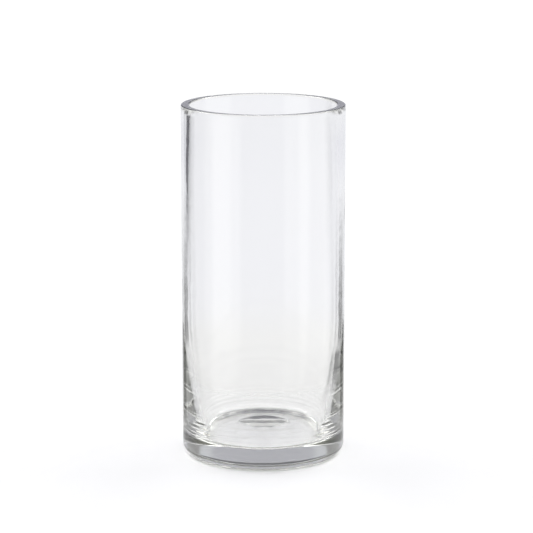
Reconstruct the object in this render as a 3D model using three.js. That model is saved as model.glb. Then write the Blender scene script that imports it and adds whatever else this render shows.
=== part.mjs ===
// Clear glass cylinder vase. The whole vase is one piece of glass, open at the top.
// Millimetres, +Z up. The origin is the centre of the foot, on the surface that the vase stands on.

import * as THREE from "three";

// Driving dimensions.
const HEIGHT = 250;
const OUTER_RADIUS = 57.5;
const WALL = 4.8; // glass thickness of the straight part of the wall
const LIP_WALL = 6.2; // the wall is a little thicker at the lip
const LIP_DEPTH = 60; // how far below the rim the extra thickness fades out
const OUTER_LIP_ROUND = 0.9;
const INNER_LIP_ROUND = 1.2;

const FLOOR_HEIGHT = 13.5; // top of the solid glass base
const TAPER_TOP = 100; // below this height the wall thickens towards the base
const TAPER = 0.0012; // glass added to the wall, per square of the distance below TAPER_TOP
const FILLET = 4.5; // round inner corner where the wall meets the floor
const DISH_DEPTH = 2.6; // the middle of the floor is sunk, with a sloping edge
const DISH_OUTER_RADIUS = 23;
const DISH_INNER_RADIUS = 5;
const DISH_ROUND = 1.5; // reach of the softening at the top and the foot of that slope

const HEEL_ROUND = 7.5; // round outer edge at the bottom
const FOOT_RING_WIDTH = 2; // flat ring that touches the table
const RECESS = 0.6; // shallow hollow under the base, inside the foot ring
const RECESS_WIDTH = 8.5; // sloping edge of that hollow

const ROUND_FACETS = 80; // facets round the axis
const ARC_DIVISIONS = 4; // steps in each curve of the outline; an arc takes twice as many

const GLASS_COLOUR = 0xeef3f1;
const GLASS_ROUGHNESS = 0.03;
const GLASS_OPACITY = 0.35;

// Radii that follow from the driving dimensions.
const CAVITY_RADIUS = OUTER_RADIUS - WALL;
const LIP_CAVITY_RADIUS = OUTER_RADIUS - LIP_WALL;
const FOOT_OUTER_RADIUS = OUTER_RADIUS - HEEL_ROUND;
const FOOT_INNER_RADIUS = FOOT_OUTER_RADIUS - FOOT_RING_WIDTH;
const RECESS_RADIUS = FOOT_INNER_RADIUS - RECESS_WIDTH;

const QUARTER = Math.PI / 2;

// A straight run to a corner that is softened over a short reach on both sides.
function softCorner(outline, corner, next, reach) {
  const before = outline.currentPoint.clone().sub(corner).setLength(reach).add(corner);
  const after = next.clone().sub(corner).setLength(reach).add(corner);
  outline.lineTo(before.x, before.y);
  outline.quadraticCurveTo(corner.x, corner.y, after.x, after.y);
}

// An S-shaped run to a new height and radius, upright at both ends.
function easeDown(outline, radius, height) {
  const from = outline.currentPoint.clone();
  const third = (height - from.y) / 3;
  outline.bezierCurveTo(from.x, from.y + third, radius, height - third, radius, height);
}

// The underside: a flat hollow whose edge slopes down to the foot ring.
function addUnderside(outline) {
  outline.moveTo(0, RECESS);
  outline.lineTo(RECESS_RADIUS, RECESS);
  outline.lineTo(FOOT_INNER_RADIUS, 0);
}

// The flat foot ring, the round heel and the straight outer wall.
function addOutside(outline) {
  outline.lineTo(FOOT_OUTER_RADIUS, 0);
  outline.absarc(FOOT_OUTER_RADIUS, HEEL_ROUND, HEEL_ROUND, -QUARTER, 0, false);
  outline.lineTo(OUTER_RADIUS, HEIGHT - OUTER_LIP_ROUND);
}

// The rim: a flat land between two softened edges.
function addRim(outline) {
  const outerCentre = OUTER_RADIUS - OUTER_LIP_ROUND;
  const innerCentre = LIP_CAVITY_RADIUS + INNER_LIP_ROUND;
  outline.absarc(outerCentre, HEIGHT - OUTER_LIP_ROUND, OUTER_LIP_ROUND, 0, QUARTER, false);
  outline.lineTo(innerCentre, HEIGHT);
  outline.absarc(innerCentre, HEIGHT - INNER_LIP_ROUND, INNER_LIP_ROUND, QUARTER, 2 * QUARTER, false);
}

// The inside of the wall: the lip thins out to the straight wall, which thickens again below TAPER_TOP.
// The thickening is a parabola, which a quadratic curve with its control point halfway down draws exactly.
function addWall(outline, cornerTop) {
  easeDown(outline, CAVITY_RADIUS, HEIGHT - INNER_LIP_ROUND - LIP_DEPTH);
  outline.lineTo(CAVITY_RADIUS, TAPER_TOP);
  const cornerRadius = CAVITY_RADIUS - TAPER * (TAPER_TOP - cornerTop) ** 2;
  outline.quadraticCurveTo(CAVITY_RADIUS, (TAPER_TOP + cornerTop) / 2, cornerRadius, cornerTop);
}

// The round inner corner, which leaves the wall at its lean, and the floor with its shallow dish.
function addFloor(outline, lean) {
  const wallEnd = outline.currentPoint.clone();
  const cornerCentre = wallEnd.x - FILLET * Math.cos(lean);
  outline.absarc(cornerCentre, FLOOR_HEIGHT + FILLET, FILLET, -lean, -QUARTER, true);
  const dishTop = new THREE.Vector2(DISH_OUTER_RADIUS, FLOOR_HEIGHT);
  const dishFoot = new THREE.Vector2(DISH_INNER_RADIUS, FLOOR_HEIGHT - DISH_DEPTH);
  const middle = new THREE.Vector2(0, dishFoot.y);
  softCorner(outline, dishTop, dishFoot, DISH_ROUND);
  softCorner(outline, dishFoot, middle, DISH_ROUND);
  outline.lineTo(middle.x, middle.y);
}

function makeOutline() {
  const lean = Math.atan(2 * TAPER * (TAPER_TOP - FLOOR_HEIGHT - FILLET));
  const cornerTop = FLOOR_HEIGHT + FILLET * (1 - Math.sin(lean));
  const outline = new THREE.Path();
  addUnderside(outline);
  addOutside(outline);
  addRim(outline);
  addWall(outline, cornerTop);
  addFloor(outline, lean);
  return outline.getPoints(ARC_DIVISIONS);
}

// The lathe turns the outline round its own Y axis, which is then stood up along Z.
function makeVaseGeometry() {
  const geometry = new THREE.LatheGeometry(makeOutline(), ROUND_FACETS);
  geometry.rotateX(QUARTER);
  return geometry;
}

function makeGlass() {
  return new THREE.MeshStandardMaterial({
    name: "clear_glass",
    color: GLASS_COLOUR,
    roughness: GLASS_ROUGHNESS,
    metalness: 0,
    transparent: true,
    opacity: GLASS_OPACITY,
  });
}

const vaseBody = new THREE.Mesh(makeVaseGeometry(), makeGlass());
vaseBody.name = "vase_body";

const group = new THREE.Group();
group.name = "glass_cylinder_vase";
group.add(vaseBody);

export default group;
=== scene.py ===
"""Clear glass cylinder vase on a plain pale floor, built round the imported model.

Everything is in metres, in the model's own frame: +Z up, origin at the centre of the foot.
"""

import math

import bpy
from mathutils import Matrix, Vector


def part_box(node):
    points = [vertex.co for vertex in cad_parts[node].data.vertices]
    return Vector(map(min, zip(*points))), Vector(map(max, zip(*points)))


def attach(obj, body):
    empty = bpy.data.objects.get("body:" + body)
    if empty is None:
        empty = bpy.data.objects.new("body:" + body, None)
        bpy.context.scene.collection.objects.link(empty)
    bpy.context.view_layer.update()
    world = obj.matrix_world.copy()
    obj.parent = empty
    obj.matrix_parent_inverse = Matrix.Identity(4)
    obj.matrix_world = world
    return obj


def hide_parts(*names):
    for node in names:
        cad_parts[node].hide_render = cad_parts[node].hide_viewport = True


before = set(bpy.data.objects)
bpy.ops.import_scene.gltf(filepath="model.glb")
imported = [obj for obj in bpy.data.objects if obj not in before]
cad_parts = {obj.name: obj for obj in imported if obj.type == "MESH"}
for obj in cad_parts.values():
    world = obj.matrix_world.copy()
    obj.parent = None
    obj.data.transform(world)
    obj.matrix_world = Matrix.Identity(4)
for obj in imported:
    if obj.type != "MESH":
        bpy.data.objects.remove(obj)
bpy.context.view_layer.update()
node_low, node_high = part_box("vase_body")

MM = 0.001
QUARTER = math.pi / 2

# The vase. Its height and outer radius come from the frame.
HEIGHT = node_high.z
OUTER_RADIUS = (node_high.x - node_low.x) / 2
WALL = 4.8 * MM
LIP_WALL = 6.2 * MM
LIP_DEPTH = 60 * MM  # how far below the rim the extra thickness of the lip fades out
OUTER_LIP_ROUND = 0.9 * MM
INNER_LIP_ROUND = 1.2 * MM

FLOOR_HEIGHT = 13.5 * MM
TAPER_TOP = 100 * MM  # below this height the wall thickens towards the base
TAPER = 0.0012 / MM  # glass added to the wall, per square of the distance below TAPER_TOP
FILLET = 4.5 * MM
DISH_DEPTH = 2.6 * MM
DISH_OUTER_RADIUS = 23 * MM
DISH_INNER_RADIUS = 5 * MM
DISH_ROUND = 1.5 * MM

HEEL_ROUND = 7.5 * MM
FOOT_RING_WIDTH = 2.0 * MM
RECESS = 0.6 * MM  # the shallow hollow under the base
RECESS_WIDTH = 8.5 * MM
RECESS_ROUND = 1.5 * MM

# Fine rings that the mould leaves low on the inside of the wall, deepest at the inner corner.
RIPPLE_TOP = 34 * MM
RIPPLE_HEIGHT = 0.045 * MM
RIPPLE_LENGTH = 3.4 * MM

# Radii that follow from the sizes above.
CAVITY_RADIUS = OUTER_RADIUS - WALL
LIP_CAVITY_RADIUS = OUTER_RADIUS - LIP_WALL
FOOT_OUTER_RADIUS = OUTER_RADIUS - HEEL_ROUND
FOOT_INNER_RADIUS = FOOT_OUTER_RADIUS - FOOT_RING_WIDTH
RECESS_RADIUS = FOOT_INNER_RADIUS - RECESS_WIDTH

# How finely each stretch of the outline is divided, and how finely it is turned round the axis.
RECESS_STEPS = 4
RECESS_ROUND_STEPS = 6
RECESS_SLOPE_STEPS = 8
FOOT_STEPS = 2
HEEL_STEPS = 16
OUTER_WALL_STEPS = 48
LIP_ROUND_STEPS = 6
RIM_STEPS = 3
LIP_STEPS = 10
INNER_WALL_STEPS = 24
TAPER_STEPS = 24
RIPPLE_STEPS = 60
FILLET_STEPS = 32
DISH_ROUND_STEPS = 10
ROUND_STEPS = 256

# The glass: its waviness is one noise, which drives both a faint bump and the change in its polish.
GLASS_INDEX = 1.5
GLASS_TINT = (0.675, 0.68, 0.645, 1.0)
GLASS_TINT_DENSITY = 14.0
WAVE_SCALE = 70.0
WAVE_DETAIL = 2.0
WAVE_STRENGTH = 0.3
WAVE_HEIGHT = 0.2 * MM
POLISH_CLEAR = 0.35  # noise up to here leaves the glass fully polished
POLISH_DULL = 0.7  # noise from here on gives it the full roughness
POLISH_ROUGHNESS = 0.004

# The table, a disc centred a little towards the camera, just below the foot.
TABLE_STEPS = 96
TABLE_RADIUS = 5 * OUTER_RADIUS
TABLE_NEARER = 2 * OUTER_RADIUS
TABLE_HEIGHT = -0.2 * MM
TABLE_FADE_START = 2.6 * OUTER_RADIUS
TABLE_FADE_END = 4.4 * OUTER_RADIUS
TABLE_COLOUR = (0.9, 0.9, 0.9)  # as the camera sees it
# Only the glass sees this: the table is painted lighter under the vase (painted light) and darker round it
# (painted shade).
TABLE_PAINTED_LIGHT_COLOUR = (0.95, 0.95, 0.95)  # as the glass sees it, under the vase: painted light
TABLE_PAINTED_SHADE_COLOUR = (0.83, 0.83, 0.83)  # as the glass sees it, round the vase: painted shade
TABLE_PAINTED_LIGHT_RADIUS = 0.85 * OUTER_RADIUS
TABLE_PAINTED_SHADE_RADIUS = 1.5 * OUTER_RADIUS

# The studio by direction, in degrees: azimuth 0 is straight behind the vase, and + is to the right.
BACKGROUND = (1.05, 1.05, 1.05)  # plain white, which only the camera sees
BACKDROP_LOW = (0.92, 0.925, 0.96)
BACKDROP_HIGH = (0.70, 0.70, 0.79)
BACKDROP_TURN = (-7, 0)  # the elevations between which the low colour turns into the high one
CARDS = (
    # centre azimuth, half width, lowest elevation, highest elevation, soft edge, colour
    # the pale ground and the pale ceiling, all the way round
    (0, 181, -91, -14, 2.5, (0.92, 0.92, 0.92)),
    (0, 181, 36, 91, 6, (0.75, 0.75, 0.75)),
    # the dimmer ceiling behind the vase
    (0, 30, 36, 70, 6, (0.5, 0.5, 0.52)),
    # the camera's side of the studio, and the dark ceiling over it
    (180, 75, 3, 91, 8, (0.62, 0.62, 0.64)),
    (180, 60, 36, 91, 6, (0.15, 0.15, 0.17)),
    # grey panels behind the vase on both sides, each with a pale strip at its inner end
    (-52, 14, 3, 30, 3, (0.42, 0.42, 0.43)),
    (52, 14, 3, 30, 3, (0.42, 0.42, 0.43)),
    (35, 6, 8, 30, 3, (0.86, 0.88, 0.95)),
    (-35, 6, 8, 30, 3, (0.86, 0.88, 0.95)),
    # bright cards low at both sides, with a dimmer one beside the left one
    (-125, 22, -20, 0, 4, (1.4, 1.4, 1.4)),
    (100, 27, -20, 0, 4, (1.4, 1.4, 1.4)),
    (-80, 20, -20, 5, 4, (0.7, 0.7, 0.73)),
    # the key lights, high behind the vase on both sides
    (48, 28, 36, 46, 3, (7.9, 7.9, 7.9)),
    (-48, 28, 36, 46, 3, (7.9, 7.9, 7.9)),
    # weak lights nearly overhead, and over the camera
    (0, 35, 67, 80, 3, (1.1, 1.1, 1.1)),
    (180, 60, 34, 55, 3, (1.3, 1.3, 1.3)),
    # a narrow dark strip behind the vase, for the dark line in the heel
    (0, 40, 10.3, 14.3, 0.8, (0.22, 0.22, 0.24)),
    # dark cards, for the dark lines down the sides of the wall and of the base
    (-47, 13, -11, 3, 2, (0.12, 0.12, 0.13)),
    (-29, 8, -19, -11.5, 2, (0.2, 0.2, 0.2)),
    (29, 8, -19, -11.5, 2, (0.2, 0.2, 0.2)),
    # dark cards lower down, for the sides of the wall as seen from higher up
    (30, 12, -33, -20.5, 2, (0.2, 0.2, 0.2)),
    (-120, 12, -33, -20.5, 2, (0.2, 0.2, 0.2)),
)
# The pair of soft boxes overhead, left and right, by slope off straight up: the side slope runs from the gap
# between the two boxes to their outer ends, and the other slope is + away from the camera.
SOFTBOX_GAP = 0.55
SOFTBOX_SIDE = 1.7
SOFTBOX_NEAR = -0.05
SOFTBOX_FAR = 0.9
SOFTBOX_EDGE = 0.08
SOFTBOX_COLOUR = (3.2, 3.2, 3.2)
LEAST_UP = 0.01  # keeps the slopes finite in directions at or below level

CAMERA_LENS = 160.8
CAMERA_SENSOR = 36.0
CAMERA_REACH = 20.0  # nothing farther away is drawn
CAMERA_DISTANCE = 28.61 * OUTER_RADIUS
CAMERA_HEIGHT = 8.38 * OUTER_RADIUS
TARGET_RIGHT = 2.3 * MM
TARGET_HEIGHT = 2.335 * OUTER_RADIUS

BOUNCES = 48  # enough for light to pass through all the glass


def steps(count):
    """Evenly spaced shares from 0 to 1, the first left out."""
    return [(i + 1) / count for i in range(count)]


def smooth(t):
    """An S-shaped share from 0 to 1, level at both ends."""
    return t * t * (3 - 2 * t)


def line(start, end, count):
    """A straight stretch of the outline, without its start."""
    return [(start[0] + (end[0] - start[0]) * t, start[1] + (end[1] - start[1]) * t) for t in steps(count)]


def arc(centre_r, centre_z, radius, start, end, count):
    """A round stretch of the outline about a centre, from one angle to another, without its start."""
    angles = [start + (end - start) * t for t in steps(count)]
    return [(centre_r + radius * math.cos(angle), centre_z + radius * math.sin(angle)) for angle in angles]


def soft_corner(corner, before, after, reach, count):
    """A corner of the outline, softened over a short reach on both sides by a quadratic curve."""
    corner = Vector(corner)
    start = corner + (Vector(before) - corner).normalized() * reach
    end = corner + (Vector(after) - corner).normalized() * reach
    curve = [start.lerp(corner, t).lerp(corner.lerp(end, t), t) for t in steps(count)]
    return [tuple(start)] + [tuple(point) for point in curve]


def underside():
    """The hollow under the base, whose edge slopes down to the foot ring."""
    points = [(0.0, RECESS)]
    points += line(points[-1], (RECESS_RADIUS - RECESS_ROUND, RECESS), RECESS_STEPS)
    slope = RECESS / RECESS_WIDTH
    for t in steps(RECESS_ROUND_STEPS):
        points.append((RECESS_RADIUS - RECESS_ROUND * (1 - 2 * t), RECESS - slope * RECESS_ROUND * t * t))
    points += line(points[-1], (FOOT_INNER_RADIUS, 0.0), RECESS_SLOPE_STEPS)
    return points


def outside(start):
    """The flat foot ring, the round heel and the straight outer wall."""
    points = line(start, (FOOT_OUTER_RADIUS, 0.0), FOOT_STEPS)
    points += arc(FOOT_OUTER_RADIUS, HEEL_ROUND, HEEL_ROUND, -QUARTER, 0.0, HEEL_STEPS)
    points += line(points[-1], (OUTER_RADIUS, HEIGHT - OUTER_LIP_ROUND), OUTER_WALL_STEPS)
    return points


def rim():
    """The rim: a flat land between two rounded edges."""
    outer_centre = OUTER_RADIUS - OUTER_LIP_ROUND
    inner_centre = LIP_CAVITY_RADIUS + INNER_LIP_ROUND
    points = arc(outer_centre, HEIGHT - OUTER_LIP_ROUND, OUTER_LIP_ROUND, 0.0, QUARTER, LIP_ROUND_STEPS)
    points += line(points[-1], (inner_centre, HEIGHT), RIM_STEPS)
    points += arc(
        inner_centre, HEIGHT - INNER_LIP_ROUND, INNER_LIP_ROUND, QUARTER, 2 * QUARTER, LIP_ROUND_STEPS
    )
    return points


def tapered_radius(height):
    """The cavity's radius below TAPER_TOP, where the wall thickens by a parabola."""
    return CAVITY_RADIUS - TAPER * (TAPER_TOP - height) ** 2


def inner_wall(corner_top):
    """The inside of the wall: the lip thins to the straight wall, which thickens again towards the base."""
    lip_top = HEIGHT - INNER_LIP_ROUND
    thinning = CAVITY_RADIUS - LIP_CAVITY_RADIUS
    points = [(LIP_CAVITY_RADIUS + thinning * smooth(t), lip_top - LIP_DEPTH * t) for t in steps(LIP_STEPS)]
    points += line(points[-1], (CAVITY_RADIUS, TAPER_TOP), INNER_WALL_STEPS)
    for t in steps(TAPER_STEPS):
        height = TAPER_TOP + (RIPPLE_TOP - TAPER_TOP) * t
        points.append((tapered_radius(height), height))
    for t in steps(RIPPLE_STEPS):
        height = RIPPLE_TOP + (corner_top - RIPPLE_TOP) * t
        ripple = RIPPLE_HEIGHT * smooth(t) * math.sin(2 * math.pi * (height - corner_top) / RIPPLE_LENGTH)
        points.append((tapered_radius(height) + ripple, height))
    return points


def cavity_floor(start, lean):
    """The round inner corner, which leaves the wall at its lean, and the floor with its shallow dish."""
    corner_centre = start[0] - FILLET * math.cos(lean)
    points = arc(corner_centre, FLOOR_HEIGHT + FILLET, FILLET, -lean, -QUARTER, FILLET_STEPS)
    dish_top = (DISH_OUTER_RADIUS, FLOOR_HEIGHT)
    dish_foot = (DISH_INNER_RADIUS, FLOOR_HEIGHT - DISH_DEPTH)
    middle = (0.0, FLOOR_HEIGHT - DISH_DEPTH)
    points += soft_corner(dish_top, points[-1], dish_foot, DISH_ROUND, DISH_ROUND_STEPS)
    points += soft_corner(dish_foot, dish_top, middle, DISH_ROUND, DISH_ROUND_STEPS)
    points.append(middle)
    return points


def outline():
    """Radius and height of the glass's surface, from the hollow under the base round to the cavity floor."""
    lean = math.atan(2 * TAPER * (TAPER_TOP - FLOOR_HEIGHT - FILLET))
    corner_top = FLOOR_HEIGHT + FILLET * (1 - math.sin(lean))
    points = underside()
    points += outside(points[-1])
    points += rim()
    points += inner_wall(corner_top)
    points += cavity_floor(points[-1], lean)
    return points


def lathe(name, profile, count):
    """A closed mesh: the profile turned round the Z axis. Its first and last points are on the axis."""
    rings = profile[1:-1]
    vertices = [(0.0, 0.0, profile[0][1])]
    for radius, z in rings:
        for i in range(count):
            angle = 2 * math.pi * i / count
            vertices.append((radius * math.cos(angle), radius * math.sin(angle), z))
    vertices.append((0.0, 0.0, profile[-1][1]))
    last = len(vertices) - 1
    last_ring = 1 + (len(rings) - 1) * count
    faces = []
    for i in range(count):
        j = (i + 1) % count
        faces.append((0, 1 + j, 1 + i))
        for k in range(len(rings) - 1):
            ring = 1 + k * count
            next_ring = ring + count
            faces.append((ring + i, ring + j, next_ring + j, next_ring + i))
        faces.append((last, last_ring + i, last_ring + j))
    mesh = bpy.data.meshes.new(name)
    mesh.from_pydata(vertices, [], faces)
    mesh.validate()
    mesh.shade_smooth()
    piece = bpy.data.objects.new(name, mesh)
    bpy.context.scene.collection.objects.link(piece)
    return piece


def make_glass():
    """Clear glass: refraction, a faint tint through its thickness, and a surface that is not quite even."""
    material = bpy.data.materials.new("clear_glass")
    material.use_nodes = True
    nodes = material.node_tree.nodes
    links = material.node_tree.links
    shader = nodes["Principled BSDF"]
    shader.inputs["Base Color"].default_value = (1.0, 1.0, 1.0, 1.0)
    shader.inputs["Transmission Weight"].default_value = 1.0
    shader.inputs["IOR"].default_value = GLASS_INDEX
    place = nodes.new("ShaderNodeTexCoord")
    waves = nodes.new("ShaderNodeTexNoise")
    waves.inputs["Scale"].default_value = WAVE_SCALE
    waves.inputs["Detail"].default_value = WAVE_DETAIL
    links.new(place.outputs["Object"], waves.inputs["Vector"])
    polish = nodes.new("ShaderNodeMapRange")
    polish.inputs["From Min"].default_value = POLISH_CLEAR
    polish.inputs["From Max"].default_value = POLISH_DULL
    polish.inputs["To Min"].default_value = 0.0
    polish.inputs["To Max"].default_value = POLISH_ROUGHNESS
    links.new(waves.outputs["Fac"], polish.inputs["Value"])
    links.new(polish.outputs["Result"], shader.inputs["Roughness"])
    bump = nodes.new("ShaderNodeBump")
    bump.inputs["Strength"].default_value = WAVE_STRENGTH
    bump.inputs["Distance"].default_value = WAVE_HEIGHT
    links.new(waves.outputs["Fac"], bump.inputs["Height"])
    links.new(bump.outputs["Normal"], shader.inputs["Normal"])
    absorption = nodes.new("ShaderNodeVolumeAbsorption")
    absorption.inputs["Color"].default_value = GLASS_TINT
    absorption.inputs["Density"].default_value = GLASS_TINT_DENSITY
    links.new(absorption.outputs["Volume"], nodes["Material Output"].inputs["Volume"])
    return material


def maths(tree, operation, *values):
    """A maths node of a stage material. Each value is a number or another node's output."""
    node = tree.nodes.new("ShaderNodeMath")
    node.operation = operation
    for socket, value in zip(node.inputs, values):
        if isinstance(value, bpy.types.NodeSocket):
            tree.links.new(value, socket)
        else:
            socket.default_value = value
    return node.outputs[0]


def ramp(tree, value, start, end):
    """A smooth ramp from 0 where the value is start to 1 where it is end."""
    node = tree.nodes.new("ShaderNodeMapRange")
    node.interpolation_type = "SMOOTHSTEP"
    tree.links.new(value, node.inputs["Value"])
    node.inputs["From Min"].default_value = start
    node.inputs["From Max"].default_value = end
    return node.outputs[0]


def mix(tree, factor, first, second):
    """One colour turning into another as the factor goes from 0 to 1."""
    node = tree.nodes.new("ShaderNodeMix")
    node.data_type = "RGBA"
    tree.links.new(factor, node.inputs["Factor"])
    for socket, colour in ((node.inputs["A"], first), (node.inputs["B"], second)):
        if isinstance(colour, bpy.types.NodeSocket):
            tree.links.new(colour, socket)
        else:
            socket.default_value = (*colour, 1)
    return node.outputs["Result"]


def distance(tree, place):
    """How far a place is from the centre of its coordinates."""
    node = tree.nodes.new("ShaderNodeVectorMath")
    node.operation = "LENGTH"
    tree.links.new(place, node.inputs[0])
    return node.outputs["Value"]


def is_camera_ray(tree):
    """1 for what the camera sees directly, and 0 for what the glass sees or what lights the scene."""
    return tree.nodes.new("ShaderNodeLightPath").outputs["Is Camera Ray"]


def make_table_material():
    """Matt and pale. Seen through the glass it has painted light under the vase and painted shade round it,
    and its edge fades out.
    """
    material = bpy.data.materials.new("table")
    material.use_nodes = True
    tree = material.node_tree
    shader = tree.nodes["Principled BSDF"]
    shader.inputs["Roughness"].default_value = 1.0
    shader.inputs["Specular IOR Level"].default_value = 0.0
    from_vase = distance(tree, tree.nodes.new("ShaderNodeNewGeometry").outputs["Position"])
    # painted light under the vase, turning into painted shade round it, which only the glass sees
    into_painted_shade = ramp(tree, from_vase, TABLE_PAINTED_LIGHT_RADIUS, TABLE_PAINTED_SHADE_RADIUS)
    painted_light_and_shade = mix(tree, into_painted_shade, TABLE_PAINTED_LIGHT_COLOUR, TABLE_PAINTED_SHADE_COLOUR)
    colour = mix(tree, is_camera_ray(tree), painted_light_and_shade, TABLE_COLOUR)
    tree.links.new(colour, shader.inputs["Base Color"])
    from_middle = distance(tree, tree.nodes.new("ShaderNodeTexCoord").outputs["Object"])
    tree.links.new(ramp(tree, from_middle, TABLE_FADE_END, TABLE_FADE_START), shader.inputs["Alpha"])
    return material


def make_table():
    """The plain pale floor that the vase stands on, as a disc."""
    vertices = []
    for i in range(TABLE_STEPS):
        angle = 2 * math.pi * i / TABLE_STEPS
        vertices.append((TABLE_RADIUS * math.cos(angle), TABLE_RADIUS * math.sin(angle), TABLE_HEIGHT))
    mesh = bpy.data.meshes.new("table")
    mesh.from_pydata(vertices, [], [tuple(range(TABLE_STEPS))])
    mesh.materials.append(make_table_material())
    table = bpy.data.objects.new("table", mesh)
    table.location.y = -TABLE_NEARER
    bpy.context.scene.collection.objects.link(table)


def add_card(tree, colour, azimuth, elevation, card):
    """Lays one card with soft edges over the studio's colour so far."""
    centre, half_width, low, high, edge, brightness = card
    turned = maths(tree, "ABSOLUTE", maths(tree, "WRAP", maths(tree, "SUBTRACT", azimuth, centre), 180, -180))
    inside = maths(tree, "SUBTRACT", 1, ramp(tree, turned, half_width - edge, half_width + edge))
    inside = maths(tree, "MULTIPLY", inside, ramp(tree, elevation, low - edge, low + edge))
    above = maths(tree, "MULTIPLY", inside, ramp(tree, elevation, high - edge, high + edge))
    return mix(tree, maths(tree, "SUBTRACT", inside, above), colour, brightness)


def add_soft_boxes(tree, colour, x, y, z):
    """Lays the pair of soft boxes overhead over the studio's colour so far."""
    up = maths(tree, "MAXIMUM", z, LEAST_UP)
    side = maths(tree, "ABSOLUTE", maths(tree, "DIVIDE", x, up))
    away = maths(tree, "DIVIDE", y, up)
    edge = SOFTBOX_EDGE
    inside = maths(tree, "SUBTRACT", 1, ramp(tree, side, SOFTBOX_SIDE - edge, SOFTBOX_SIDE + edge))
    inside = maths(tree, "MULTIPLY", inside, ramp(tree, side, SOFTBOX_GAP - edge, SOFTBOX_GAP + edge))
    inside = maths(tree, "MULTIPLY", inside, ramp(tree, away, SOFTBOX_NEAR - edge, SOFTBOX_NEAR + edge))
    beyond = maths(tree, "MULTIPLY", inside, ramp(tree, away, SOFTBOX_FAR - edge, SOFTBOX_FAR + edge))
    return mix(tree, maths(tree, "SUBTRACT", inside, beyond), colour, SOFTBOX_COLOUR)


def make_world():
    """The studio all round: a backdrop, cards and soft boxes by direction, and plain white for the camera."""
    world = bpy.data.worlds.new("studio")
    bpy.context.scene.world = world
    world.use_nodes = True
    tree = world.node_tree
    direction = tree.nodes.new("ShaderNodeTexCoord")
    split = tree.nodes.new("ShaderNodeSeparateXYZ")
    tree.links.new(direction.outputs["Generated"], split.inputs[0])
    x, y, z = split.outputs
    azimuth = maths(tree, "DEGREES", maths(tree, "ARCTAN2", x, y))
    elevation = maths(tree, "DEGREES", maths(tree, "ARCSINE", z))
    colour = mix(tree, ramp(tree, elevation, *BACKDROP_TURN), BACKDROP_LOW, BACKDROP_HIGH)
    for card in CARDS:
        colour = add_card(tree, colour, azimuth, elevation, card)
    colour = add_soft_boxes(tree, colour, x, y, z)
    colour = mix(tree, is_camera_ray(tree), colour, BACKGROUND)
    tree.links.new(colour, tree.nodes["Background"].inputs["Color"])


def make_camera():
    """A long lens well in front of the vase, looking slightly down on it."""
    data = bpy.data.cameras.new("camera")
    data.lens = CAMERA_LENS
    data.sensor_width = CAMERA_SENSOR
    data.clip_end = CAMERA_REACH
    camera = bpy.data.objects.new("camera", data)
    camera.location = (0.0, -CAMERA_DISTANCE, CAMERA_HEIGHT)
    target = Vector((TARGET_RIGHT, 0.0, TARGET_HEIGHT))
    camera.rotation_euler = (target - camera.location).to_track_quat("-Z", "Y").to_euler()
    bpy.context.scene.collection.objects.link(camera)
    bpy.context.scene.camera = camera


def set_tone_and_bounces():
    """Plain tone mapping, and light paths long and exact enough for thick glass."""
    scene = bpy.context.scene
    scene.view_settings.view_transform = "Standard"
    scene.cycles.max_bounces = BOUNCES
    scene.cycles.glossy_bounces = BOUNCES
    scene.cycles.transmission_bounces = BOUNCES
    scene.cycles.blur_glossy = 0.0
    scene.cycles.sample_clamp_indirect = 0.0


vase = lathe("vase_glass", outline(), ROUND_STEPS)
vase.data.materials.append(make_glass())
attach(vase, "root")
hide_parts("vase_body")
make_table()
make_world()
make_camera()
set_tone_and_bounces()
